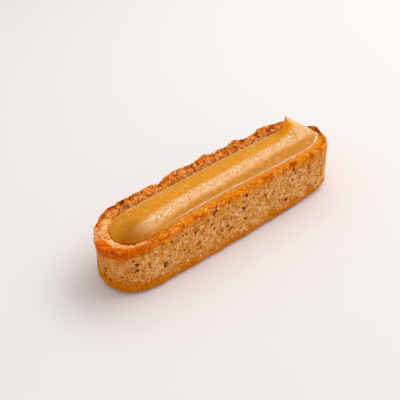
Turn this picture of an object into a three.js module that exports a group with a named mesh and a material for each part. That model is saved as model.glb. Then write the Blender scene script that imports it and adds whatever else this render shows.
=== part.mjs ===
// A financier baked in an oblong mould: a browned almond cake with a craggy rim and a long trough,
// and in the trough a piped filling whose end is pulled up into a leaning peak.
// Millimetres. X runs along the cake, Y from its front to its back, Z up from what it stands on.
import * as THREE from 'three';
import { ImprovedNoise } from 'three/addons/math/ImprovedNoise.js';
import { mergeVertices } from 'three/addons/utils/BufferGeometryUtils.js';

// The cake as it came out of the mould.
const cakeLength = 110;
const cakeWidth = 31.3;
const rimHeight = 23;
const leftEndLength = 17.6;
const rightEndLength = 12.4;
const endSquareness = 2.27;
const bowAtRim = -1.9;
const bowAtUnderside = 1.2;
const undersideRound = 2.7;
const undersideRoundAtRight = 4.8;
const undersideRoundGrows = [30, 50];
const rimRound = 1.1;

// At the rim the back half of the left end was pressed in a little.
const leftEndPress = 3;
const leftEndPressAcross = [-0.3, 0.8];

// Where the rim sank while it baked, and where it stands proud: place, reach and height.
const rimSwells = [
  { x: -32, y: 15, reach: 5, height: -0.4 },
  { x: -16, y: 15, reach: 5, height: -1.4 },
  { x: -6, y: 15, reach: 5, height: 0.5 },
  { x: 6, y: 15, reach: 4, height: 1.3 },
  { x: 12, y: 15, reach: 4, height: -0.7 },
  { x: 23, y: 15, reach: 4, height: 0.9 },
  { x: 31, y: 15, reach: 5.5, height: -1 },
  { x: 38.2, y: 14, reach: 4, height: 0.8 },
  { x: 46.5, y: 12, reach: 5, height: -1 },
  { x: 51, y: 6, reach: 8, height: -2.4 },
  { x: 54.5, y: -3, reach: 4.5, height: 1.3 },
];

// The trough, its brim being the line where the filling meets the cake.
const troughLeft = -47.2;
const troughRight = 53.6;
const troughEndLength = 11;
const troughFrontAtLeft = -9.6;
const troughFront = -13.2;
const troughFrontWidens = [-44, -18];
const troughBack = 10.5;
const troughFloor = 12;
const troughFloorRound = 2.5;
const troughWallLean = 1.2;
const brimDrop = { front: 0.8, back: 2.8, left: 2.8, right: 1.2 };
const brimLevelsFromLeft = [-46, -26];
const brimRisesToRight = [42, 53];

// The filling: a thin skirt up to the rim, and on it a rounded bead with a fine lip along its front.
const fillingGap = 0.3;
const beadRight = 52.9;
const beadFront = -9.3;
const beadFrontAtRight = -10.2;
const beadFrontShifts = [15, 45];
const beadRise = 2.2;
const beadBackRise = 0.25;
const beadBackRises = [0, 8];
const beadShoulder = 0.75;
const beadFullness = { along: 2, right: 4.2 };
const beadFillsOut = [40, 50];
const lipHeight = 0.3;
const lipWidth = 0.45;
const lipBegins = [-34, -8];
const lipEndsAcross = [0, 6];
const peakFoot = new THREE.Vector3(46, 3.2, 0);
const peakPull = new THREE.Vector3(-0.3, 3.1, 5.1);
const peakReach = { left: 7, right: 10.5, front: 10, back: 7 };
const peakSlope = 2.2;
const peakTipRadius = 0.55;

// Crags: how far the baked crumb stands proud at the front and back of the rim, the width of one
// grain, how low the grains sit, and the slow waves in them and in the whole wall.
const cragHeight = { front: 0.45, back: 1.1 };
const cragGrowsToBack = [-11, 2];
const cragDepthBelowCrest = [-6, -1];
const cragClearOfBrim = [1.02, 1.12];
const grainWidth = 2.1;
const grainSink = 0.9;
const grainWaves = 0.7;
const wallUnevenness = 0.35;
const wallUnevennessLength = 9;

// Where the rings of points lie: turns round an edge, and shares of the way up or across.
const undersideTurns = [0, 0.22, 0.5, 0.78];
const wallShares = [0, 0.27, 0.52, 0.74, 0.9];
const crestTurns = [0, 0.5, 1];
const ledgeShares = [0.16, 0.34, 0.55, 0.78, 1];
const lipShares = [1, 0.94, 0.87, 0.8, 0.75, 0.71, 0.67, 0.63];
const crownShares = [0.58, 0.5, 0.42, 0.34, 0.26, 0.17, 0.08, 0];
const cakeColumns = { side: 64, crowding: 1, left: 44, right: 38 };
const fillingColumns = { side: 24, crowding: 1.4, left: 22, right: 30 };

const cakeMaterial = new THREE.MeshStandardMaterial({ color: '#c98f4e', roughness: 0.85, metalness: 0 });
const fillingMaterial = new THREE.MeshStandardMaterial({ color: '#d8913c', roughness: 0.3, metalness: 0 });

const cakePlan = {
  left: -cakeLength / 2,
  right: cakeLength / 2,
  leftEnd: leftEndLength,
  rightEnd: rightEndLength,
  squareness: endSquareness,
  press: leftEndPress,
  front: () => -cakeWidth / 2,
  back: cakeWidth / 2,
};

const troughPlan = {
  left: troughLeft,
  right: troughRight,
  leftEnd: troughEndLength,
  rightEnd: troughEndLength,
  squareness: 2,
  press: 0,
  front: (x) => THREE.MathUtils.lerp(troughFrontAtLeft, troughFront, ease(x, troughFrontWidens)),
  back: troughBack,
};

const beadPlan = {
  left: troughLeft + fillingGap,
  right: beadRight,
  leftEnd: troughEndLength,
  rightEnd: troughEndLength,
  squareness: 2,
  press: 0,
  front: (x) => THREE.MathUtils.lerp(beadFront, beadFrontAtRight, ease(x, beadFrontShifts)),
  back: troughBack - fillingGap,
};

const troughHalf = (troughBack - troughFront) / 2;

function ease(value, [from, to]) {
  return THREE.MathUtils.smoothstep(value, from, to);
}

// The long sides aren't straight: at the rim the middle lies back, at the underside it lies forward.
function bowAt(x, heightShare = 1) {
  const halves = (2 * x) / cakeLength;
  const bow = THREE.MathUtils.lerp(bowAtUnderside, bowAtRim, heightShare);
  return bow * (halves * halves - 1 / 3);
}

// Stations round an oblong: the whole part counts back side, left end, front side and right end.
function stationsRound({ side, crowding, left, right }) {
  const stations = [];
  for (let i = 0; i < side; i += 1) {
    stations.push((i / side) ** crowding);
  }
  for (let i = 0; i < left; i += 1) {
    stations.push(1 + i / left);
  }
  for (let i = side; i > 0; i -= 1) {
    stations.push(3 - (i / side) ** crowding);
  }
  for (let i = 0; i < right; i += 1) {
    stations.push(3 + i / right);
  }
  return stations;
}

// A point of an oblong plan at a station: scale 1 is its outline, 0 the spine down its middle.
function planPoint(plan, station, scale, heightShare = 1) {
  const spineLeft = plan.left + plan.leftEnd;
  const spineRight = plan.right - plan.rightEnd;
  const zone = Math.floor(station) % 4;
  const share = station - Math.floor(station);
  const turn = Math.PI * share;
  const power = 2 / plan.squareness;
  const endward = Math.sin(turn) ** power * scale;
  const endAcross = Math.sign(Math.cos(turn)) * Math.abs(Math.cos(turn)) ** power;
  let x = THREE.MathUtils.lerp(spineRight, spineLeft, share);
  let across = 1;
  if (zone === 1) {
    across = endAcross;
    x = spineLeft - (plan.leftEnd - plan.press * heightShare * ease(across, leftEndPressAcross)) * endward;
  } else if (zone === 2) {
    x = THREE.MathUtils.lerp(spineLeft, spineRight, share);
    across = -1;
  } else if (zone === 3) {
    across = -endAcross;
    x = spineRight + plan.rightEnd * endward;
  }
  const middle = (plan.front(x) + plan.back) / 2;
  const half = (plan.back - plan.front(x)) / 2;
  return new THREE.Vector2(x, middle + half * across * scale + bowAt(x, heightShare));
}

// How far out a place lies in an oblong plan: 0 on the spine, 1 on the outline.
function outwardness(plan, x, y) {
  const spineLeft = plan.left + plan.leftEnd;
  const spineRight = plan.right - plan.rightEnd;
  const middle = (plan.front(x) + plan.back) / 2 + bowAt(x);
  const half = (plan.back - plan.front(x)) / 2;
  const beyondLeft = Math.max(spineLeft - x, 0) / plan.leftEnd;
  const beyondRight = Math.max(x - spineRight, 0) / plan.rightEnd;
  return Math.hypot(beyondLeft + beyondRight, (y - middle) / half);
}

function crestHeight(x, y) {
  const swell = (sum, lump) => {
    const away = Math.hypot(x - lump.x, y - lump.y);
    return sum + lump.height * (1 - ease(away, [0, lump.reach]));
  };
  return rimSwells.reduce(swell, rimHeight);
}

// The height at which the filling meets the cake, falling from the front rim to the back wall.
function brimHeight(x, y) {
  const across = ease(y - bowAt(x), [troughFront, troughBack]);
  const along = THREE.MathUtils.lerp(brimDrop.front, brimDrop.back, across);
  const towardsRight = THREE.MathUtils.lerp(along, brimDrop.right, ease(x, brimRisesToRight));
  return rimHeight - THREE.MathUtils.lerp(brimDrop.left, towardsRight, ease(x, brimLevelsFromLeft));
}

// Rounded grains on a seeded lattice: 1 on top of a grain, 0 between grains.
function grains(point, width) {
  const here = point.clone().divideScalar(width);
  const cell = here.clone().floor();
  let nearest = 1;
  for (let i = 0; i < 27; i += 1) {
    const step = new THREE.Vector3((i % 3) - 1, (Math.floor(i / 3) % 3) - 1, Math.floor(i / 9) - 1);
    const corner = cell.clone().add(step);
    const seed = corner.add(latticeShift(corner));
    nearest = Math.min(nearest, here.distanceToSquared(seed));
  }
  return 1 - nearest;
}

// The seeded draw behind the grains: three shares from 0 to 1 for each corner of the lattice.
function latticeShift(corner) {
  const mix = (a, b, c) => {
    const wave = Math.sin(corner.x * a + corner.y * b + corner.z * c) * 43758.5453;
    return wave - Math.floor(wave);
  };
  return new THREE.Vector3(mix(127.1, 311.7, 74.7), mix(269.5, 183.3, 246.1), mix(113.5, 271.9, 124.6));
}

const unevenness = new ImprovedNoise();

function waviness(point, length) {
  return unevenness.noise(point.x / length, point.y / length, point.z / length);
}

// Joins rings of points into one closed skin. The first and last rings lie folded on their spines,
// so their doubled points are merged and the triangles that shrink away are dropped.
function skinRings(rings) {
  const columns = rings[0].length;
  const places = [];
  rings.forEach((ring) => ring.forEach((point) => places.push(point.x, point.y, point.z)));
  const corners = [];
  for (let row = 0; row < rings.length - 1; row += 1) {
    for (let column = 0; column < columns; column += 1) {
      const next = (column + 1) % columns;
      const a = row * columns + column;
      const b = row * columns + next;
      corners.push([a, b, b + columns], [a, b + columns, a + columns]);
    }
  }
  const loose = new THREE.BufferGeometry();
  loose.setAttribute('position', new THREE.Float32BufferAttribute(places, 3));
  loose.setIndex(corners.flat());
  const skin = mergeVertices(loose, 1e-4);
  const index = skin.index.array;
  const merged = corners.map((_, i) => [index[3 * i], index[3 * i + 1], index[3 * i + 2]]);
  skin.setIndex(merged.filter(([a, b, c]) => a !== b && b !== c && c !== a).flat());
  skin.computeVertexNormals();
  return skin;
}

// A ring of the cake's outside, inset from the mould's wall, at a height worked out for each point.
function outsideRing(stations, insetAt, heightShare, heightAt) {
  return stations.map((station) => {
    const wall = planPoint(cakePlan, station, 1, heightShare);
    const scale = 1 - (2 * insetAt(wall.x)) / cakeWidth;
    const place = planPoint(cakePlan, station, scale, heightShare);
    return new THREE.Vector3(place.x, place.y, heightAt(wall.x, wall.y));
  });
}

function roundAt(x) {
  return THREE.MathUtils.lerp(undersideRound, undersideRoundAtRight, ease(x, undersideRoundGrows));
}

// From the spine of the flat underside, round its edge, up the wall and over the crest of the rim.
function outsideRings(stations) {
  const rings = [outsideRing(stations, () => cakeWidth / 2, 0, () => 0)];
  for (const turn of undersideTurns) {
    const angle = (turn * Math.PI) / 2;
    const inset = (x) => roundAt(x) * (1 - Math.sin(angle));
    rings.push(outsideRing(stations, inset, 0, (x) => roundAt(x) * (1 - Math.cos(angle))));
  }
  for (const share of wallShares) {
    const top = (x, y) => crestHeight(x, y) - rimRound;
    const heightAt = (x, y) => THREE.MathUtils.lerp(roundAt(x), top(x, y), share);
    rings.push(outsideRing(stations, () => 0, share, heightAt));
  }
  for (const turn of crestTurns) {
    const angle = (turn * Math.PI) / 2;
    const heightAt = (x, y) => crestHeight(x, y) - rimRound * (1 - Math.sin(angle));
    rings.push(outsideRing(stations, () => rimRound * (1 - Math.cos(angle)), 1, heightAt));
  }
  return rings;
}

// The top of the rim: from its crest it falls steeply, then flattens out to the trough's brim.
function ledgeRing(stations, share) {
  const fall = 1 - (1 - share) ** 2;
  return stations.map((station) => {
    const outer = planPoint(cakePlan, station, 1 - (2 * rimRound) / cakeWidth);
    const inner = planPoint(troughPlan, station, 1);
    const place = outer.clone().lerp(inner, share);
    const crest = crestHeight(outer.x, outer.y);
    const brim = brimHeight(inner.x, inner.y);
    return new THREE.Vector3(place.x, place.y, THREE.MathUtils.lerp(crest, brim, fall));
  });
}

// A ring of the trough's wall: depth 0 is the brim, 1 the floor, and the wall leans in as it goes down.
function troughRing(stations, depth, inset, floor) {
  const scale = 1 - (inset + troughWallLean * depth) / troughHalf;
  return stations.map((station) => {
    const place = planPoint(troughPlan, station, scale);
    const brim = planPoint(troughPlan, station, 1);
    const height = THREE.MathUtils.lerp(brimHeight(brim.x, brim.y), floor, depth);
    return new THREE.Vector3(place.x, place.y, height);
  });
}

// The trough from its brim down to the spine of its floor, drawn smaller all round by a gap.
function troughRings(stations, gap) {
  const floor = troughFloor + gap;
  return [
    troughRing(stations, 0.3, gap, floor),
    troughRing(stations, 0.7, gap, floor),
    troughRing(stations, 1, troughFloorRound + gap, floor),
    troughRing(stations, 1, troughHalf - troughWallLean, floor),
  ];
}

// Baked crumb: grains and slow waves pushed out of the smooth skin, most of all on the back of the rim.
function craggy(skin) {
  const places = skin.attributes.position;
  const facing = skin.attributes.normal;
  for (let i = 0; i < places.count; i += 1) {
    const point = new THREE.Vector3().fromBufferAttribute(places, i);
    const outward = new THREE.Vector3().fromBufferAttribute(facing, i);
    point.addScaledVector(outward, cragAt(point));
    places.setXYZ(i, point.x, point.y, point.z);
  }
  return skin;
}

function cragAt(point) {
  const out = outwardness(troughPlan, point.x, point.y);
  const onUnderside = point.z < 0.01;
  if (onUnderside || out < cragClearOfBrim[0]) {
    return 0;
  }
  const nearCrest = ease(point.z - crestHeight(point.x, point.y), cragDepthBelowCrest);
  const height = THREE.MathUtils.lerp(cragHeight.front, cragHeight.back, ease(point.y, cragGrowsToBack));
  const grain = grains(point, grainWidth) - grainSink;
  const crag = height * (grain + grainWaves * waviness(point, 2 * grainWidth));
  const wave = wallUnevenness * waviness(point, wallUnevennessLength) * ease(point.z, [0, undersideRound]);
  return crag * nearCrest * ease(out, cragClearOfBrim) + wave;
}

function cakeGeometry() {
  const stations = stationsRound(cakeColumns);
  const ledge = ledgeShares.map((share) => ledgeRing(stations, share));
  return craggy(skinRings([...outsideRings(stations), ...ledge, ...troughRings(stations, 0)]));
}

// The surface of the filling before its end is pulled up.
function fillingHeight(x, y) {
  const out = outwardness(beadPlan, x, y);
  const fullness = THREE.MathUtils.lerp(beadFullness.along, beadFullness.right, ease(x, beadFillsOut));
  const dome = Math.max(1 - out ** fullness, 0) ** beadShoulder;
  const rise = beadRise + beadBackRise * ease(y, beadBackRises);
  const half = (beadPlan.back - beadPlan.front(x)) / 2;
  const fromLip = ((out - 1) * half) / lipWidth;
  const alongFront = ease(x, lipBegins) * (1 - ease(y, lipEndsAcross));
  return brimHeight(x, y) + rise * dome + lipHeight * Math.exp(-fromLip * fromLip) * alongFront;
}

// Pulls the end of the bead up and back into a peak that is steep on its left and eases off to the right.
function pullPeak(point) {
  const x = point.x - peakFoot.x;
  const y = point.y - peakFoot.y;
  const reachAlong = x < 0 ? peakReach.left : peakReach.right;
  const reachAcross = y < 0 ? peakReach.front : peakReach.back;
  const fromFoot = Math.hypot(x, y);
  const outsideTip = Math.max(fromFoot - peakTipRadius, 0) / Math.max(fromFoot, peakTipRadius);
  const distance = Math.hypot(x / reachAlong, y / reachAcross) * outsideTip;
  const pull = Math.max(1 - distance, 0) ** peakSlope;
  return point.addScaledVector(peakPull, pull);
}

function fillingTopRing(stations, share) {
  const edge = 1 - fillingGap / troughHalf;
  return stations.map((station) => {
    const place = planPoint(troughPlan, station, share * edge);
    return pullPeak(new THREE.Vector3(place.x, place.y, fillingHeight(place.x, place.y)));
  });
}

// From the spine of its underside out and up the trough's wall, then inwards over the bead.
function fillingGeometry() {
  const stations = stationsRound(fillingColumns);
  const below = troughRings(stations, fillingGap).reverse();
  const above = [...lipShares, ...crownShares].map((share) => fillingTopRing(stations, share));
  return skinRings([...below, ...above]);
}

const cake = new THREE.Mesh(cakeGeometry(), cakeMaterial);
cake.name = 'cake';

const filling = new THREE.Mesh(fillingGeometry(), fillingMaterial);
filling.name = 'filling';

const financier = new THREE.Group();
financier.add(cake, filling);

// The origin is under the middle of the whole cake's box.
const box = new THREE.Box3().setFromObject(financier);
financier.position.set(-(box.min.x + box.max.x) / 2, -(box.min.y + box.max.y) / 2, -box.min.z);

export default financier;
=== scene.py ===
import math

import bmesh
import bpy
from mathutils import Matrix, Vector, bvhtree, geometry, kdtree, noise


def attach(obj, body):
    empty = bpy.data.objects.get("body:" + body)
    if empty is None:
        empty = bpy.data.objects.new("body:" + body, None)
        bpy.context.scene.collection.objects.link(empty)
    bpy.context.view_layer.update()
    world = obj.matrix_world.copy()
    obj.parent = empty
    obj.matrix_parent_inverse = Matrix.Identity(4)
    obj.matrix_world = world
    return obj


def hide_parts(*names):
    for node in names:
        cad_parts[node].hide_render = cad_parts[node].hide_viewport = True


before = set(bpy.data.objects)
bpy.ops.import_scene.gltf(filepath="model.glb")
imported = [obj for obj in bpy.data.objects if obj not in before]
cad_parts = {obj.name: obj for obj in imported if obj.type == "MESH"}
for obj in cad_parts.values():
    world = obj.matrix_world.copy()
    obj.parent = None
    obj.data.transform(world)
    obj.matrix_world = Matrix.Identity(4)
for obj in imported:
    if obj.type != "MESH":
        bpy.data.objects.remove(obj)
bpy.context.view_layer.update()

# A financier with a piped filling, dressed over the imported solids. The dictionaries hold millimetres,
# counted from the middle of the underside, and mm turns them into Blender's metres.
mm = 0.001

photoCamera = {
    "place": (-101.223, -167.284, 166.053),
    "azimuth": -29.397,
    "elevation": 38.059,
    "roll": -9.509,
    "lens": 53.893,
}

studio = {
    "floorColour": "#F0EDEC",
    "floorSize": 3000,
    "grainWidth": 0.8,
    "grainDepth": 0.02,
    "skyColour": "#F6F5F6",
    "skyStrength": 0.67,
    # Softboxes: where, how long and how wide, the way the long side runs, how far the light spreads in
    # degrees, power in watts and colour.
    "softboxes": [
        {
            "place": (610, -170, 755),
            "size": (940, 505),
            "along": (0, 1, 0),
            "spread": 120,
            "power": 2.55,
            "colour": "#FFFDFA",
        },
        {
            "place": (200, 245, 400),
            "size": (270, 90),
            "along": (1, 0, 0),
            "spread": 180,
            "power": 0.16,
            "colour": "#FFF9F0",
        },
    ],
}


def linearColour(hexCode):
    values = [int(hexCode[i : i + 2], 16) / 255 for i in (1, 3, 5)]
    return [v / 12.92 if v <= 0.04045 else ((v + 0.055) / 1.055) ** 2.4 for v in values] + [1.0]


# A soft step, 0 up to low and 1 from high on.
def ease(value, low, high):
    share = min(max((value - low) / (high - low), 0.0), 1.0)
    return share * share * (3 - 2 * share)


# Adds one shader node. Settings name a property of the node or an input, by name or by number.
def addNode(tree, kind, settings=None, links=None):
    node = tree.nodes.new(kind)
    for name, value in (settings or {}).items():
        if isinstance(name, str) and hasattr(node, name):
            setattr(node, name, value)
        else:
            node.inputs[name].default_value = value
    for name, socket in (links or {}).items():
        tree.links.new(socket, node.inputs[name])
    return node


def newMaterial(name):
    material = bpy.data.materials.new(name)
    material.use_nodes = True
    material.node_tree.nodes.clear()
    return material, material.node_tree


def makeCamera():
    azimuth = math.radians(photoCamera["azimuth"])
    elevation = math.radians(photoCamera["elevation"])
    level = math.cos(elevation)
    back = Vector((math.sin(azimuth) * level, -math.cos(azimuth) * level, math.sin(elevation)))
    right = Vector((math.cos(azimuth), math.sin(azimuth), 0))
    right = Matrix.Rotation(math.radians(photoCamera["roll"]), 3, back) @ right
    axes = Matrix((right, back.cross(right), back)).transposed().to_4x4()
    camera = bpy.data.objects.new("photoCamera", bpy.data.cameras.new("photoCamera"))
    camera.matrix_world = Matrix.Translation(Vector(photoCamera["place"]) * mm) @ axes
    camera.data.sensor_width = 36
    camera.data.lens = photoCamera["lens"]
    camera.data.clip_start = 0.01
    bpy.context.scene.collection.objects.link(camera)
    bpy.context.scene.camera = camera


# Matt painted board under the cake: it gives the eye a plain pale ground and a soft shadow. Object
# coordinates are metres, so a pattern's scale is 1000 over its width in millimetres.
def mattPaintedBoard():
    material, tree = newMaterial("mattPaintedBoard")
    place = addNode(tree, "ShaderNodeTexCoord").outputs["Object"]
    settings = {"Scale": 1000 / studio["grainWidth"], "Detail": 3.0}
    grain = addNode(tree, "ShaderNodeTexNoise", settings, {"Vector": place})
    settings = {"Strength": 0.1, "Distance": studio["grainDepth"] * mm}
    relief = addNode(tree, "ShaderNodeBump", settings, {"Height": grain.outputs["Fac"]})
    floorColour = linearColour(studio["floorColour"])
    settings = {"Base Color": floorColour, "Roughness": 0.8, "Specular IOR Level": 0.15}
    paint = addNode(tree, "ShaderNodeBsdfPrincipled", settings, {"Normal": relief.outputs["Normal"]})
    addNode(tree, "ShaderNodeOutputMaterial", links={"Surface": paint.outputs["BSDF"]})
    return material


def makeStudio():
    shape = bmesh.new()
    bmesh.ops.create_grid(shape, x_segments=2, y_segments=2, size=studio["floorSize"] * mm / 2)
    mesh = bpy.data.meshes.new("floor")
    shape.to_mesh(mesh)
    shape.free()
    mesh.materials.append(mattPaintedBoard())
    floor = bpy.data.objects.new("floor", mesh)
    bpy.context.scene.collection.objects.link(floor)

    world = bpy.data.worlds.new("softRoom")
    bpy.context.scene.world = world
    world.use_nodes = True
    sky = world.node_tree.nodes["Background"]
    sky.inputs["Color"].default_value = linearColour(studio["skyColour"])
    sky.inputs["Strength"].default_value = studio["skyStrength"]

    for softbox in studio["softboxes"]:
        light = bpy.data.lights.new("softbox", "AREA")
        light.shape = "RECTANGLE"
        light.size, light.size_y = [side * mm for side in softbox["size"]]
        light.spread = math.radians(softbox["spread"])
        light.energy = softbox["power"]
        light.color = linearColour(softbox["colour"])[:3]
        lamp = bpy.data.objects.new("softbox", light)
        facing = Vector(softbox["place"]).normalized()
        across = facing.cross(Vector(softbox["along"])).normalized()
        turned = Matrix((across.cross(facing), across, facing)).transposed().to_4x4()
        lamp.matrix_world = Matrix.Translation(Vector(softbox["place"]) * mm) @ turned
        bpy.context.scene.collection.objects.link(lamp)
    bpy.context.scene.view_settings.view_transform = "Standard"


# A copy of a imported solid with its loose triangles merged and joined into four-sided faces.
def mergedCopy(node):
    shape = bmesh.new()
    shape.from_mesh(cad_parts[node].data)
    bmesh.ops.remove_doubles(shape, verts=shape.verts, dist=0.001 * mm)
    bmesh.ops.join_triangles(
        shape,
        faces=shape.faces,
        angle_face_threshold=math.pi,
        angle_shape_threshold=math.pi,
        topology_influence=2.0,
    )
    return shape


# One level of the smooth subdivision, applied at once so that the points can be shaped further.
def smoothOnce(shape, name):
    mesh = bpy.data.meshes.new(name)
    shape.to_mesh(mesh)
    holder = bpy.data.objects.new(name, mesh)
    bpy.context.scene.collection.objects.link(holder)
    rounding = holder.modifiers.new("rounding", "SUBSURF")
    rounding.levels = rounding.render_levels = 1
    bpy.context.view_layer.update()
    finished = holder.evaluated_get(bpy.context.evaluated_depsgraph_get()).to_mesh()
    shape.clear()
    shape.from_mesh(finished)
    holder.to_mesh_clear()
    bpy.data.objects.remove(holder)
    bpy.data.meshes.remove(mesh)


# Makes the finished piece of a shape. Shares are what its material reads: numbers for each point.
def finishPiece(shape, shares, name, material, node):
    for face in shape.faces:
        face.smooth = True
    mesh = bpy.data.meshes.new(name)
    shape.to_mesh(mesh)
    shape.free()
    for share in shares[0]:
        attribute = mesh.attributes.new(share, "FLOAT", "POINT")
        attribute.data.foreach_set("value", [point[share] for point in shares])
    mesh.materials.append(material)
    piece = bpy.data.objects.new(name, mesh)
    bpy.context.scene.collection.objects.link(piece)
    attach(piece, "root")
    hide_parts(node)
    return piece


# Layers of noise, each with its width and height in millimetres.
def unevenness(place, widths, heights):
    return sum(height * noise.noise(place / width) for width, height in zip(widths, heights))


crust = {
    # Crags along the rim, as broad, middle and fine grains: how wide and high they are, the height on a
    # grain that counts as level, and how far below the crest they fade.
    "cragWidths": (1.8, 0.9, 0.55),
    "cragHeights": (0.6, 0.42, 0.2),
    "cragLevel": 0.75,
    "cragFade": (1.0, 5.5),
    # Slight unevenness of the crumb everywhere else.
    "crumbWidths": (2.8, 0.9),
    "crumbHeights": (0.22, 0.1),
    # Pores: how far apart, from how narrow to how wide, how deep, and in which share of the places.
    "poreSpacing": 1.5,
    "poreReach": (0.3, 0.6),
    "poreDepth": 0.28,
    "poreShare": 0.28,
    # Baked bands, from where each is full to where it ends: the golden and the toasted one counted down
    # from the rim's crest, the lower one up from the foot, the others outwards from the filling.
    "goldenBand": (1.4, 3.0),
    "toastedBand": (1.8, 4.6),
    "lowerBand": (2.6, 6.8),
    "innerBand": (1.4, 3.2),
    "ledgeBand": (3.2, 5.0),
    # At the left end the golden and the lower band are so much wider.
    "goldenExtra": 1.0,
    "lowerExtra": 2.8,
    # How the edges of the bands wander.
    "waverWidths": (5, 1.4),
    "waverHeights": (1.1, 0.6),
    # Where the left end fades out along x, and the back sets in along y.
    "leftEnd": (-46, -30),
    "backHalf": (-2, 6),
    # The foot of the wall swells by so much, and turns under by so much at the very bottom.
    "footSwell": 0.34,
    "footTurn": 0.75,
    # The crest is looked for above this height.
    "crestFrom": 20.5,
    # Upright edges of the wall: from how short to how long, and how many times they are cut.
    "wallCuts": [(3.4, 9.0, 3), (2.2, 3.4, 1)],
    # Scorched places: where, how far round it and how dark.
    "scorches": [
        ((-38.1, 13.7, 22.2), 1.3, 1.0),
        ((-34.8, 14.1, 22.3), 1.7, 1.0),
        ((-43.5, 12.9, 22.2), 1.0, 0.6),
        ((-12.1, 11.5, 20.5), 0.9, 0.9),
        ((0.2, 14.2, 22.1), 1.0, 0.8),
        ((21.9, 12.6, 21.2), 1.0, 0.8),
        ((41.0, 12.9, 21.4), 1.2, 0.8),
        ((44.1, 13.7, 22.4), 1.1, 0.7),
        ((29.9, -15.6, 19.9), 1.1, 1.0),
        ((29.2, -15.5, 22.2), 1.2, 0.8),
        ((9.3, -13.1, 22.2), 0.8, 0.6),
    ],
    # Places fried to a glowing red: where and how far round it.
    "embers": [
        ((54.0, -4.5, 23.0), 2.1),
        ((-51.9, -10.2, 22.9), 0.8),
        ((31.0, -15.2, 22.2), 1.2),
        ((16.0, -14.4, 22.6), 1.3),
        ((-30.0, 14.8, 22.6), 1.2),
        ((-40.0, 14.0, 22.6), 1.8),
    ],
    # Pale, hardly coloured places.
    "paleSpots": [
        ((-51.5, 3.5, 22.6), 3.2),
        ((-53.5, 1.0, 21.5), 2.6),
        ((-48.0, -3.0, 20.4), 2.4),
        ((-46.5, 6.5, 21.0), 1.8),
        ((48.5, -12.0, 21.9), 1.6),
    ],
    # Flecks of almond skin: where and how wide.
    "flecks": [
        ((-55.0, -3.3, 8.4), 0.55),
        ((-54.3, -5.6, 7.1), 0.55),
        ((-54.6, -4.9, 12.5), 0.6),
        ((-45.8, -14.7, 15.7), 0.6),
        ((-46.8, -14.4, 18.0), 0.4),
        ((-41.2, -15.6, 13.5), 0.4),
        ((-32.6, -15.8, 12.4), 0.35),
        ((-46.1, -14.4, 12.9), 0.55),
        ((-44.5, -8.0, 20.2), 0.35),
        ((-42.7, -9.5, 20.4), 0.35),
        ((-41.3, -15.5, 12.0), 0.35),
        ((-35.3, -15.8, 9.1), 0.55),
        ((-34.3, -15.8, 9.9), 0.4),
        ((-30.2, -15.8, 14.1), 0.4),
        ((-20.0, -15.6, 16.2), 0.45),
        ((-13.5, -15.4, 18.2), 0.4),
        ((-11.5, -15.7, 13.1), 0.5),
        ((-9.2, -15.3, 20.7), 0.55),
        ((-10.2, -15.3, 20.2), 0.45),
        ((-8.6, -15.8, 10.3), 0.45),
        ((-8.8, -14.9, 21.9), 0.5),
        ((-12.3, -15.5, 15.5), 0.4),
        ((-15.7, -15.3, 20.0), 0.35),
        ((-5.5, -15.7, 10.5), 0.5),
        ((-3.8, -15.7, 8.3), 0.5),
        ((-2.7, -15.1, 20.8), 0.5),
        ((3.2, -15.6, 14.9), 0.55),
        ((3.9, -15.9, 9.1), 0.4),
        ((5.6, -15.1, 19.7), 0.6),
        ((14.2, -15.5, 15.5), 0.4),
        ((21.4, -15.9, 8.7), 0.45),
        ((24.7, -15.9, 7.2), 0.7),
        ((30.8, -15.6, 17.3), 0.45),
        ((45.4, -15.7, 13.8), 0.5),
    ],
    # Greyish smudges where skin lies just under the surface.
    "smudges": [
        ((-47.3, -14.0, 13.9), 1.3),
        ((-34.8, -15.8, 9.3), 1.5),
        ((-19.5, -15.6, 16.4), 1.3),
        ((-10.4, -15.4, 19.9), 1.4),
        ((3.6, -15.6, 14.4), 1.5),
        ((18.8, -15.6, 14.5), 1.4),
        ((37.8, -15.9, 16.4), 1.2),
    ],
}


# Rounded grains of a given width in millimetres: the height, 1 on top, and each grain's own draw.
def grainAt(place, width):
    distances, centres = noise.voronoi(place / width, distance_metric="DISTANCE_SQUARED")
    return 1 - min(distances[0], 1.0), 0.5 + 0.5 * noise.cell(centres[0] * 7.13)


# Pores: in a share of the cells a small round pit, with its own width. Gives 0 outside, 1 at the bottom.
def poreDepth(place):
    distances, centres = noise.voronoi(place / crust["poreSpacing"], distance_metric="DISTANCE")
    draw = 0.5 + 0.5 * noise.cell(centres[0] * 7.13)
    if draw > crust["poreShare"]:
        return 0.0
    low, high = crust["poreReach"]
    reach = (low + (high - low) * draw / crust["poreShare"]) / crust["poreSpacing"]
    return 1 - ease(distances[0], 0.35 * reach, reach)


# How much of a spot there is at a place: the largest share of a list of centres and reaches. The spots'
# edges wobble by so many millimetres, in waves of the given width.
def spotShare(place, spots, wobble, wobbleWidth):
    share = 0.0
    for centre, reach in spots:
        away = (place - Vector(centre)).length
        if away < 2 * reach + wobble:
            away += wobble * noise.noise(place / wobbleWidth)
            share = max(share, 1 - ease(away, 0.45 * reach, 1.15 * reach))
    return share


# Gives the height of the nearest stretch of the rim's crest.
def crestFinder(shape):
    verts = [v for v in shape.verts if v.co.z > crust["crestFrom"] * mm and v.normal.z > 0.6]
    crest = [v.co.copy() for v in verts]
    tree = kdtree.KDTree(len(crest))
    for i, place in enumerate(crest):
        tree.insert((place.x, place.y, 0), i)
    tree.balance()

    def crestAbove(place):
        return max(crest[i].z for _, i, _ in tree.find_n((place.x, place.y, 0), 6))

    return crestAbove


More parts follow.
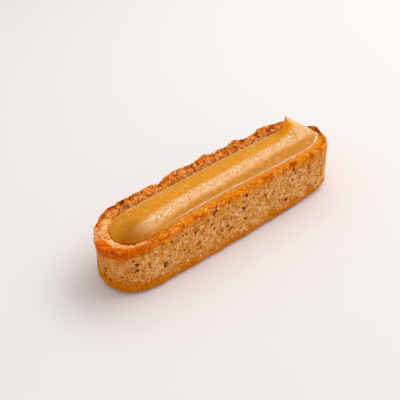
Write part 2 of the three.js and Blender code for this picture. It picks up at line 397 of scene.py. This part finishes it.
# Cuts the long upright edges of the wall, so that its faces come out near square. Edges under the
# filling stay whole.
def splitUpright(shape, fillingTree, shortest, longest, cuts):
    def isUpright(edge):
        length = edge.calc_length()
        rise = abs(edge.verts[0].co.z - edge.verts[1].co.z)
        return shortest * mm < length <= longest * mm and rise > 0.8 * length

    def isOutside(edge):
        return min(fillingTree.find_nearest(v.co)[3] for v in edge.verts) > 0.7 * mm

    edges = [edge for edge in shape.edges if isUpright(edge) and isOutside(edge)]
    bmesh.ops.subdivide_edges(shape, edges=edges, cuts=cuts, use_grid_fill=True)


# How baked each place is, and where shade and highlights are painted, as shares that the sponge's
# material reads. The place is in millimetres, and so are its fall, which is how far it lies below the
# rim's crest, and its distance from the filling.
def bakingAt(place, fall, fromFilling, grains):
    (broadTop, _), (top, draw), (fineTop, fineDraw) = grains
    waver = unevenness(place, crust["waverWidths"], crust["waverHeights"])
    leftEnd = 1 - ease(place.x, *crust["leftEnd"])
    back = ease(place.y, *crust["backHalf"])

    reach = fall - crust["goldenExtra"] * (1 - ease(place.x, -44, -22))
    golden = 1 - ease(reach + waver, *crust["goldenBand"])
    toasted = max(
        1 - ease(reach + 1.8 * waver, *crust["toastedBand"]),
        0.9 * ease(place.x + 1.2 * waver, 51.5, 54.5),
        0.6 * (1 - ease(place.x + 2 * waver, -53, -42)),
    )
    inner = (1 - ease(fromFilling + waver, *crust["innerBand"])) * ease(place.y, -4, 2)
    ledge = 1 - ease(fromFilling + waver + 0.6 * (1 - back), *crust["ledgeBand"])
    ledge = (1 - ease(place.x, -46, -34)) * ledge
    baked = max(golden, inner) * (1 - 0.8 * ledge)
    foot = place.z - crust["lowerExtra"] * (1 - ease(place.x, -50, -30))
    ragged = foot + 2.4 * waver + 2.2 * noise.noise(place / 0.9)

    # Painted shade lies in the creases between grains and painted highlights on their tops, some
    # brighter than others, among lighter patches.
    flecked = noise.noise(place / 2.3)
    friedFront = leftEnd * (1 - back) * (0.6 + 0.4 * ease(flecked, -0.15, 0.25))
    patches = ease(noise.noise(place / 1.3 + Vector((9, 4, 2))), 0.15, 0.45)
    highlightAndPatch = max(ease(top, 0.6, 0.95) * (0.1 + 0.9 * draw), patches)
    paleHighlight = max(
        ease(fineTop, 0.7, 0.9) * ease(fineDraw, 0.45, 0.7),
        ease(top, 0.74, 0.95) * ease(draw, 0.75, 0.88),
    )
    creaseShade = max(1 - ease(broadTop, 0.4, 0.62), 0.7 * draw * (1 - ease(top, 0.4, 0.6)))

    scorch = max(
        strength * spotShare(place, [(centre, reach)], 0.7, 0.9)
        for centre, reach, strength in crust["scorches"]
    )
    halos = [(centre, 1.6 * reach) for centre, reach in crust["flecks"]]
    return {
        "toasted": toasted,
        "golden": golden,
        "fried": golden * max(friedFront, ease(flecked, 0.05, 0.35)),
        "goldenHighlightAndPatch": golden * highlightAndPatch * (1 - 0.75 * leftEnd),
        "creaseShade": baked * creaseShade * (0.45 + 0.55 * back),
        "inner": inner,
        "paleGrainHighlight": max(0.7 * inner, ledge, 0.6 * back * golden) * paleHighlight,
        "ledge": ledge,
        "pale": spotShare(place, crust["paleSpots"], 1.6, 1.6) * (0.6 + 0.4 * ease(top, 0.5, 0.8)),
        "lower": 1 - ease(ragged, *crust["lowerBand"]),
        "scorch": scorch,
        "ember": spotShare(place, crust["embers"], 0.8, 1.0),
        "halo": spotShare(place, halos, 0.6, 0.6),
        "fleck": ease(spotShare(place, crust["flecks"], 0.3, 0.6), 0.05, 0.6),
        "smudge": spotShare(place, crust["smudges"], 1.4, 1.1),
    }


def makeCake(fillingTree, material):
    shape = mergedCopy("cake")
    for shortest, longest, cuts in crust["wallCuts"]:
        splitUpright(shape, fillingTree, shortest, longest, cuts)
    smoothOnce(shape, "cakeShape")

    # Only what the filling leaves bare gets the finest faces.
    def isSeen(face):
        centre = face.calc_center_median()
        return centre.z > 1.2 * mm and fillingTree.find_nearest(centre)[3] > 0.45 * mm

    seen = {edge for face in shape.faces if isSeen(face) for edge in face.edges}
    bmesh.ops.subdivide_edges(shape, edges=list(seen), cuts=1, use_grid_fill=True)
    shape.normal_update()
    crestAbove = crestFinder(shape)
    moves = []
    shares = []
    for vert in shape.verts:
        place = vert.co / mm
        fall = crestAbove(vert.co) / mm - place.z
        fromFilling = fillingTree.find_nearest(vert.co)[3] / mm
        # How far a point is clear of the filling, near the crest and off the floor.
        bare = ease(fromFilling, 0.3, 0.8)
        rimward = 1 - ease(fall, *crust["cragFade"])
        standing = ease(place.z, 0.0, 0.9)
        grains = [grainAt(place, width) for width in crust["cragWidths"]]
        heights = crust["cragHeights"]
        crags = sum(height * (grain[0] - crust["cragLevel"]) for grain, height in zip(grains, heights))
        # The rim is most rugged along the back and at the right end.
        rugged = max(ease(place.y, -8, 8), ease(place.x, 44, 51))
        crags *= rimward * (0.3 + 0.85 * rugged) * (0.25 + 0.75 * bare)
        crumb = unevenness(place, crust["crumbWidths"], crust["crumbHeights"])
        pore = poreDepth(place) * bare * standing * (1 - 0.6 * rimward)
        uneven = 0.9 + 0.8 * noise.noise(place / 2.4)
        foot = crust["footSwell"] * (1 - ease(place.z, 2.0, 6.0)) * uneven
        foot -= crust["footTurn"] * (1 - ease(place.z, 0.0, 1.3))
        flat = Vector((vert.normal.x, vert.normal.y, 0))
        raised = crags + crumb * standing * bare - crust["poreDepth"] * pore
        moves.append(vert.normal * raised + flat * foot)
        share = bakingAt(place, fall, fromFilling, grains)
        share["pore"] = pore
        shares.append(share)
    for vert, move in zip(shape.verts, moves):
        vert.co += move * mm
        vert.co.z = max(vert.co.z, 0.0)
    return finishPiece(shape, shares, "bakedCake", material, "cake")


sponge = {
    "crumb": "#E29C4B",
    # Patterns in the crumb: colour, width in millimetres, detail, where it begins and is full, strength,
    # and what it keeps to: 0 for nothing, the width of the clusters in which it gathers, or a zone.
    "patterns": [
        ("#F0B674", 4.2, 2.0, 0.46, 0.6, 0.85, 0),
        ("#C86E06", 2.3, 3.0, 0.5, 0.64, 0.8, 0),
        ("#F9CA8C", 1.1, 2.0, 0.52, 0.64, 0.7, 0),
    ],
    # Baked zones, with painted shade in the pores and creases and painted highlights on the grains'
    # tops, in the order in which they cover each other: share, colour and strength.
    "zones": [
        # Painted shade in the pits of the pores.
        ("pore", "#94480A", 0.7),
        ("smudge", "#A2745C", 0.65),
        ("lower", "#D27600", 1.0),
        ("toasted", "#DC8418", 0.75),
        ("golden", "#F48200", 1.0),
        ("fried", "#D25000", 0.95),
        # Painted highlights on the golden grains' tops, among lighter patches.
        ("goldenHighlightAndPatch", "#FFA628", 0.85),
        ("inner", "#BA6200", 1.0),
        ("ledge", "#F8AE5A", 1.0),
        ("pale", "#F6C084", 0.9),
        # Painted shade in the creases between grains.
        ("creaseShade", "#984000", 1.0),
        # Painted highlights on the pale grains' tops.
        ("paleGrainHighlight", "#FFD698", 1.0),
        ("ember", "#A82600", 0.85),
        ("scorch", "#761E00", 0.95),
        ("halo", "#8C3600", 0.9),
        ("fleck", "#340A02", 1.0),
    ],
    # Burnt sugar and scraps of skin, as patterns of the same form that lie over every zone.
    "finest": [
        ("#A04400", 0.7, 2.0, 0.54, 0.66, 0.35, 0),
        ("#B86000", 0.8, 2.0, 0.53, 0.59, 0.85, 4.0),
        ("#842C00", 0.8, 2.0, 0.63, 0.68, 1.0, 4.0),
        ("#501000", 0.8, 2.0, 0.68, 0.72, 1.0, 4.0),
        ("#BC6400", 0.6, 1.0, 0.57, 0.62, 0.8, 2.6),
        ("#842C00", 0.6, 1.0, 0.65, 0.69, 1.0, 2.6),
        ("#481000", 0.6, 1.0, 0.7, 0.73, 1.0, 2.6),
        ("#3C1408", 0.7, 1.0, 0.57, 0.62, 0.95, "smudge"),
    ],
    # Where the clusters begin and are full.
    "clusterEdge": (0.46, 0.58),
    # Specks of skin: how far apart, the share of places without one, and the widest, as a share of that
    # distance.
    "speckSpacing": 3.4,
    "speckless": 0.6,
    "speckReach": 0.2,
    "speckColour": "#5A1600",
    # Glints of butter: how wide, where they begin and are full, and how wide their clusters are.
    "glintWidth": 0.5,
    "glintEdge": (0.54, 0.63),
    "glintClusters": 3.0,
    "glintColour": "#FFE6B0",
    # The dry crumb and the buttered rim, the crumb's fine relief, and how deep light scatters in it.
    "dryRoughness": 0.8,
    "butteredRoughness": 0.5,
    "reliefWidth": 0.6,
    "reliefDepth": 0.15,
    "scatterDepth": 1.2,
}


# Almond sponge baked against a buttered mould: to the eye a pale porous crumb, mottled with ochre and
# flecked with dark almond skin, fried golden and glossy along the rim and ochre along the foot. Its
# pores and the creases between its grains hold painted shade, and its grains' tops painted highlights.
def bakedAlmondSponge():
    material, tree = newMaterial("bakedAlmondSponge")
    place = addNode(tree, "ShaderNodeTexCoord").outputs["Object"]
    zones = {}
    zoneLayers = []
    for share, colour, strength in sponge["zones"]:
        zone = addNode(tree, "ShaderNodeAttribute", {"attribute_name": share})
        zones[share] = zone.outputs["Fac"]
        eased = addNode(tree, "ShaderNodeMapRange", {"To Max": strength}, {"Value": zone.outputs["Fac"]})
        zoneLayers.append((colour, eased.outputs["Result"]))

    low, high = sponge["clusterEdge"]
    clustered = {"interpolation_type": "SMOOTHSTEP", "From Min": low, "From Max": high}
    crumbLayers = []
    finestLayers = []
    for layers, patterns in ((crumbLayers, sponge["patterns"]), (finestLayers, sponge["finest"])):
        for colour, width, detail, low, high, strength, keptTo in patterns:
            settings = {"Scale": 1000 / width, "Detail": detail}
            pattern = addNode(tree, "ShaderNodeTexNoise", settings, {"Vector": place})
            settings = {
                "interpolation_type": "SMOOTHSTEP",
                "From Min": low,
                "From Max": high,
                "To Max": strength,
            }
            spread = addNode(tree, "ShaderNodeMapRange", settings, {"Value": pattern.outputs["Fac"]})
            factor = spread.outputs["Result"]
            where = zones.get(keptTo)
            if keptTo and where is None:
                settings = {"Scale": 1000 / keptTo}
                gathering = addNode(tree, "ShaderNodeTexNoise", settings, {"Vector": place})
                sockets = {"Value": gathering.outputs["Fac"]}
                where = addNode(tree, "ShaderNodeMapRange", clustered, sockets).outputs["Result"]
            if keptTo:
                sockets = {0: factor, 1: where}
                kept = addNode(tree, "ShaderNodeMath", {"operation": "MULTIPLY"}, sockets)
                factor = kept.outputs["Value"]
            layers.append((colour, factor))

    # Each place for a speck has its own draw, which says how wide the speck is, if there is one.
    settings = {"Scale": 1000 / sponge["speckSpacing"]}
    specks = addNode(tree, "ShaderNodeTexVoronoi", settings, {"Vector": place})
    draw = addNode(tree, "ShaderNodeSeparateColor", links={"Color": specks.outputs["Color"]})
    settings = {"From Min": sponge["speckless"], "To Min": 0.0, "To Max": sponge["speckReach"]}
    reach = addNode(tree, "ShaderNodeMapRange", settings, {"Value": draw.outputs["Red"]})
    sockets = {0: specks.outputs["Distance"], 1: reach.outputs["Result"]}
    near = addNode(tree, "ShaderNodeMath", {"operation": "LESS_THAN"}, sockets)
    crumbLayers.append((sponge["speckColour"], near.outputs["Value"]))

    # Glints of butter on the tops of the golden grains: painted highlights in the colour, and a glossy
    # coat.
    settings = {"Scale": 1000 / sponge["glintWidth"], "Detail": 1.0}
    shimmer = addNode(tree, "ShaderNodeTexNoise", settings, {"Vector": place})
    low, high = sponge["glintEdge"]
    settings = {"interpolation_type": "SMOOTHSTEP", "From Min": low, "From Max": high}
    glint = addNode(tree, "ShaderNodeMapRange", settings, {"Value": shimmer.outputs["Fac"]})
    settings = {"Scale": 1000 / sponge["glintClusters"]}
    gathering = addNode(tree, "ShaderNodeTexNoise", settings, {"Vector": place})
    where = addNode(tree, "ShaderNodeMapRange", clustered, {"Value": gathering.outputs["Fac"]})
    for factor in (where.outputs["Result"], zones["goldenHighlightAndPatch"]):
        sockets = {0: glint.outputs[0], 1: factor}
        glint = addNode(tree, "ShaderNodeMath", {"operation": "MULTIPLY"}, sockets)
    finestLayers.append((sponge["glintColour"], glint.outputs["Value"]))

    under = addNode(tree, "ShaderNodeRGB")
    under.outputs[0].default_value = linearColour(sponge["crumb"])
    painted = under.outputs[0]
    # A Mix node's colours are its sockets 6 and 7, and the mixed colour is its output 2.
    for colour, factor in crumbLayers + zoneLayers + finestLayers:
        settings = {"data_type": "RGBA", 7: linearColour(colour)}
        painted = addNode(tree, "ShaderNodeMix", settings, {0: factor, 6: painted}).outputs[2]

    settings = {"To Min": sponge["dryRoughness"], "To Max": sponge["butteredRoughness"]}
    butter = addNode(tree, "ShaderNodeMapRange", settings, {"Value": zones["golden"]})
    settings = {"Scale": 1000 / sponge["reliefWidth"], "Detail": 3.0}
    crumbs = addNode(tree, "ShaderNodeTexNoise", settings, {"Vector": place})
    settings = {"Strength": 0.5, "Distance": sponge["reliefDepth"] * mm}
    relief = addNode(tree, "ShaderNodeBump", settings, {"Height": crumbs.outputs["Fac"]})
    body = addNode(
        tree,
        "ShaderNodeBsdfPrincipled",
        {
            "IOR": 1.45,
            "Specular IOR Level": 0.01,
            "Subsurface Weight": 0.2,
            "Subsurface Scale": sponge["scatterDepth"] * mm,
            "Coat Roughness": 0.22,
        },
        {
            "Base Color": painted,
            "Roughness": butter.outputs["Result"],
            "Coat Weight": glint.outputs["Value"],
            "Normal": relief.outputs["Normal"],
            "Coat Normal": relief.outputs["Normal"],
        },
    )
    body.inputs["Subsurface Radius"].default_value = (1.0, 0.5, 0.25)
    addNode(tree, "ShaderNodeOutputMaterial", links={"Surface": body.outputs["BSDF"]})
    return material


cream = {
    "amber": "#E49414",
    # Patterns in the cream: colour, width in millimetres, where it begins and is full, strength.
    "patterns": [
        ("#D68408", 2.6, 0.5, 0.66, 0.6),
        ("#EEB064", 1.7, 0.52, 0.66, 0.45),
        ("#C67800", 0.5, 0.54, 0.66, 0.35),
        ("#F6C886", 0.45, 0.56, 0.68, 0.3),
    ],
    # Broad tones under the patterns and marks over them: share, colour and strength.
    "tones": [
        # Painted highlight along the crown.
        ("crownHighlight", "#F3BE86", 0.85),
        # Painted shade on the front slope below it.
        ("flankShade", "#CA8430", 0.85),
        ("film", "#CE8634", 0.95),
    ],
    "marks": [
        # Painted shade over the left end.
        ("shadedLeftEnd", "#B06600", 1.0),
        # Painted glow on the peak's flank that faces left, for light shining through it.
        ("paintedGlow", "#FFA200", 1.0),
        # Painted highlight on the peak's top and its face that turns right.
        ("tip", "#F8D6A0", 0.85),
        # Painted highlight along the back edge.
        ("edge", "#F6D09C", 0.85),
        ("outer", "#EA7A00", 1.0),
        # Painted highlights on the outer grains' tops.
        ("outerGrainHighlight", "#FFA814", 0.8),
    ],
    # Painted highlight along the lip.
    "lipHighlightColour": "#FBE4CA",
    # The knife's fine strokes along the crown: how wide, how many times longer, their slant in degrees,
    # where their painted highlights and the painted shade between them begin and are full, and how deep
    # they are.
    "strokeHighlight": "#FFF0D2",
    "strokeShade": "#DC9430",
    "strokeWidth": 0.52,
    "strokeStretch": 2.6,
    "strokeSlant": 38,
    "strokeEdge": (0.53, 0.61),
    "shadeEdge": (0.48, 0.4),
    "strokeDepth": 0.1,
    # How deep light scatters in the cream, and how its smoothed surface still waves.
    "scatterDepth": 3.0,
    "unevenWidths": (6.0, 1.6),
    "unevenHeights": (0.07, 0.05),
    # The fine ridge that the nozzle left along the front and round the right end: its run in plan, its
    # height and half its width.
    "lipRun": [
        (-36, -9.9),
        (-28, -9.85),
        (0, -9.8),
        (8, -10.15),
        (16, -10.6),
        (28, -11.2),
        (38, -11.4),
        (43, -11.3),
        (45, -10.9),
        (46.8, -10.1),
        (48.5, -9.0),
        (50.2, -7.8),
        (51.6, -6.4),
        (52.6, -4.6),
    ],
    "lipFrom": -37,
    "lipHeight": 0.2,
    "lipWidth": 0.2,
    # Rough golden grains outside the lip.
    "outerWidth": 1.0,
    "outerHeight": 0.35,
    # The filling's sides are drawn onto the cake where it is this near, and so far into it.
    "bondReach": (0.6, 1.1),
    "bondDepth": 0.12,
    # The peak leans this way over these heights, and its tip is pinched towards this place in plan.
    "peakPull": (-0.35, 0.2, 1.5),
    "peakBand": (25.2, 28.1),
    "tipBand": (26.6, 28.1),
    "tipPinch": 0.5,
    "peakPlace": (45.7, 6.1),
}


# Set praline cream, piped and smoothed: dense, fatty and a little translucent, so light glows amber
# through its thin edges, and a soft gloss lies along its crown. Painted highlights lie along the crown,
# the lip, the back edge and the peak, painted shade on the front slope and the left end, and a painted
# glow on the peak's flank that faces left.
def pralineCream():
    material, tree = newMaterial("pralineCream")
    place = addNode(tree, "ShaderNodeTexCoord").outputs["Object"]
    under = addNode(tree, "ShaderNodeRGB")
    under.outputs[0].default_value = linearColour(cream["amber"])
    painted = under.outputs[0]
    tones = []
    marks = []
    for layers, zones in ((tones, cream["tones"]), (marks, cream["marks"])):
        for share, colour, strength in zones:
            zone = addNode(tree, "ShaderNodeAttribute", {"attribute_name": share})
            sockets = {"Value": zone.outputs["Fac"]}
            eased = addNode(tree, "ShaderNodeMapRange", {"To Max": strength}, sockets)
            layers.append((colour, eased.outputs["Result"]))
    for colour, width, low, high, strength in cream["patterns"]:
        settings = {"Scale": 1000 / width, "Detail": 2.0}
        pattern = addNode(tree, "ShaderNodeTexNoise", settings, {"Vector": place})
        settings = {
            "interpolation_type": "SMOOTHSTEP",
            "From Min": low,
            "From Max": high,
            "To Max": strength,
        }
        spread = addNode(tree, "ShaderNodeMapRange", settings, {"Value": pattern.outputs["Fac"]})
        tones.append((colour, spread.outputs["Result"]))

    # Fine strokes of the palette knife, slanting across the bead: a painted highlight on their tops and
    # painted shade between them.
    settings = {"Rotation": (0, 0, math.radians(-cream["strokeSlant"]))}
    turned = addNode(tree, "ShaderNodeMapping", settings, {"Vector": place})
    settings = {"Scale": (1 / cream["strokeStretch"], 1, 1)}
    slant = addNode(tree, "ShaderNodeMapping", settings, {"Vector": turned.outputs["Vector"]})
    settings = {"Scale": 1000 / cream["strokeWidth"], "Detail": 1.5}
    strokes = addNode(tree, "ShaderNodeTexNoise", settings, {"Vector": slant.outputs["Vector"]})
    stroked = addNode(tree, "ShaderNodeAttribute", {"attribute_name": "stroked"})
    for name, edge in (("strokeShade", "shadeEdge"), ("strokeHighlight", "strokeEdge")):
        low, high = cream[edge]
        settings = {"interpolation_type": "SMOOTHSTEP", "From Min": low, "From Max": high, "To Max": 0.9}
        spread = addNode(tree, "ShaderNodeMapRange", settings, {"Value": strokes.outputs["Fac"]})
        sockets = {0: spread.outputs["Result"], 1: stroked.outputs["Fac"]}
        share = addNode(tree, "ShaderNodeMath", {"operation": "MULTIPLY"}, sockets)
        marks.append((cream[name], share.outputs["Value"]))
    # The lip's painted highlight.
    lip = addNode(tree, "ShaderNodeAttribute", {"attribute_name": "lip"})
    settings = {"From Max": 0.8, "To Max": 0.9}
    eased = addNode(tree, "ShaderNodeMapRange", settings, {"Value": lip.outputs["Fac"]})
    marks.append((cream["lipHighlightColour"], eased.outputs["Result"]))
    for colour, factor in tones + marks:
        settings = {"data_type": "RGBA", 7: linearColour(colour)}
        painted = addNode(tree, "ShaderNodeMix", settings, {0: factor, 6: painted}).outputs[2]

    gloss = addNode(tree, "ShaderNodeMapRange", {"To Max": 0.6}, {"Value": stroked.outputs["Fac"]})
    settings = {"Strength": 0.8, "Distance": cream["strokeDepth"] * mm}
    relief = addNode(tree, "ShaderNodeBump", settings, {"Height": strokes.outputs["Fac"]})
    body = addNode(
        tree,
        "ShaderNodeBsdfPrincipled",
        {
            "Roughness": 0.4,
            "IOR": 1.45,
            "Specular IOR Level": 0.06,
            "Subsurface Weight": 0.5,
            "Subsurface Scale": cream["scatterDepth"] * mm,
            "Coat Roughness": 0.3,
        },
        {
            "Base Color": painted,
            "Coat Weight": gloss.outputs["Result"],
            "Normal": relief.outputs["Normal"],
            "Coat Normal": relief.outputs["Normal"],
        },
    )
    body.inputs["Subsurface Radius"].default_value = (1.0, 0.45, 0.12)
    addNode(tree, "ShaderNodeOutputMaterial", links={"Surface": body.outputs["BSDF"]})
    return material


# How far a place lies from the lip's run in plan, and how far outside it, less than nothing inside.
def awayFromLip(place):
    flat = Vector((place.x, place.y, 0))
    run = [Vector((x, y, 0)) for x, y in cream["lipRun"]]
    nearest = math.inf
    outside = 0.0
    for start, end in zip(run, run[1:]):
        share = geometry.intersect_point_line(flat, start, end)[1]
        foot = start.lerp(end, min(max(share, 0.0), 1.0))
        away = (flat - foot).length
        if away < nearest:
            nearest = away
            step = end - start
            outside = (step.y * (flat.x - start.x) - step.x * (flat.y - start.y)) / step.length
    return nearest, outside


def makeFilling(cakeTree, material):
    shape = mergedCopy("filling")
    smoothOnce(shape, "fillingShape")
    smoothOnce(shape, "fillingShape")

    # The ridge and the baked border outside it need finer faces.
    def isFine(vert):
        place = vert.co / mm
        return place.z > 20.5 and place.x > cream["lipFrom"] and awayFromLip(place)[1] > -0.7

    fine = {vert for vert in shape.verts if isFine(vert)}
    edges = [edge for edge in shape.edges if edge.verts[0] in fine and edge.verts[1] in fine]
    bmesh.ops.subdivide_edges(shape, edges=edges, cuts=1, use_grid_fill=True)
    shape.normal_update()
    shares = []
    moves = []
    for vert in shape.verts:
        place = vert.co / mm
        uneven = unevenness(place, cream["unevenWidths"], cream["unevenHeights"])
        topside = ease(vert.normal.z, 0.3, 0.8) * ease(place.z, 20.5, 21.5)
        # The crown's middle runs a little towards the back from left to right.
        middle = 2.2 * ease(place.x, -36, -10) + 1.1 * ease(place.x, 0, 30) - 4.3
        across = place.y - middle + 0.5 * noise.noise(place / 3.5)
        # A painted highlight along the crown.
        crownHighlight = ease(across, -6.0, -3.2) * (1 - ease(across, 0.2, 2.2))
        crownHighlight = crownHighlight * ease(place.x, -46, -33) * topside
        peakward = ease(place.x, 36, 43)
        stroked = ease(across, -4.5 - 2 * peakward, -1.2)
        stroked *= 1 - ease(across, 0.6 + 2 * peakward, 2.4 + peakward)
        patchy = 0.55 + 0.45 * ease(noise.noise(place / 2.2), -0.2, 0.2)
        stroked *= ease(place.x, -40, -31) * topside * patchy

        # The lip is now thinner, now thicker. Outside it lies a thin film, and then the rough grains.
        lip = outer = film = 0.0
        if place.z > 20 and place.x > cream["lipFrom"]:
            away, outside = awayFromLip(place)
            away += abs(outside + 0.2 * noise.noise(place / 1.6)) - abs(outside)
            lipAway = away / (cream["lipWidth"] * (1 + 0.7 * noise.noise(place / 2.1)))
            begun = ease(place.x, -36, -8)
            lip = math.exp(-lipAway * lipAway) * begun * (0.85 + 0.8 * noise.noise(place / 1.1))
            film = ease(outside, 0.1, 0.5)
            outer = ease(outside + noise.noise(place / 1.3) + 0.8 * ease(place.x, 2, 16), 1.4, 2.2)
        top, draw = grainAt(place, cream["outerWidth"])

        # Near the cake the cream moves onto its wall, and the peak is drawn out to a leaning tip.
        wall, _, _, gap = cakeTree.find_nearest(vert.co)
        sideways = (wall - vert.co) * Vector((1, 1, 0))
        touching = 1 - ease(gap / mm, *cream["bondReach"])
        overlap = sideways * (1 + cream["bondDepth"] * mm / max(gap, 0.05 * mm)) * touching
        peak = ease(place.z, *cream["peakBand"])
        pull = Vector(cream["peakPull"]) * peak ** 2
        tip = Vector((*cream["peakPlace"], place.z))
        pull -= (place - tip) * cream["tipPinch"] * ease(place.z, *cream["tipBand"])
        lifted = uneven + cream["lipHeight"] * lip + cream["outerHeight"] * outer * (top - 0.6)
        moves.append(overlap + (vert.normal * lifted + pull) * mm)
        # Along the back, where the cream meets the cake, its edge gets a painted highlight.
        edge = (1 - ease(gap / mm, 0.7, 1.7)) * ease(place.y, 0, 3) * ease(place.x, -42, -35)
        edge = edge * ease(place.z, 19.6, 20.2) * (0.7 + 0.6 * noise.noise(place / 2))
        share = {
            "crownHighlight": crownHighlight,
            "stroked": stroked,
            # Painted shade on the front slope.
            "flankShade": ease(-across, 3.6, 6.0) * topside * ease(place.x, -42, -30),
            # Painted shade over the left end.
            "shadedLeftEnd": (1 - ease(place.x, -46, -29)) * (1 - 0.8 * ease(place.y - 0.6 * place.x, 20, 30)),
            "film": film,
            # Painted glow on the peak's flank that faces left.
            "paintedGlow": ease(place.z, 22.6, 24.2) * ease(-vert.normal.x, 0.0, 0.35),
            # Painted highlight on the peak's top and its side that faces right.
            "tip": ease(place.z + 2 * vert.normal.x, 24.8, 28.2),
            "edge": edge,
            "outer": outer,
            # Painted highlights on the outer grains' tops.
            "outerGrainHighlight": outer * ease(top, 0.6, 0.9) * (0.3 + 0.7 * draw),
            # The lip is raised and gets a painted highlight.
            "lip": lip,
        }
        shares.append(share)
    for vert, move in zip(shape.verts, moves):
        vert.co += move
    return finishPiece(shape, shares, "pipedFilling", material, "filling")


makeCamera()
makeStudio()
print("camera, floor and lights are in place")
depsgraph = bpy.context.evaluated_depsgraph_get()
packedFilling = bvhtree.BVHTree.FromObject(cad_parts["filling"], depsgraph)
packedCake = bvhtree.BVHTree.FromObject(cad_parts["cake"], depsgraph)
bakedCake = makeCake(packedFilling, bakedAlmondSponge())
print("cake:", len(bakedCake.data.polygons), "faces")
pipedFilling = makeFilling(packedCake, pralineCream())
print("filling:", len(pipedFilling.data.polygons), "faces")
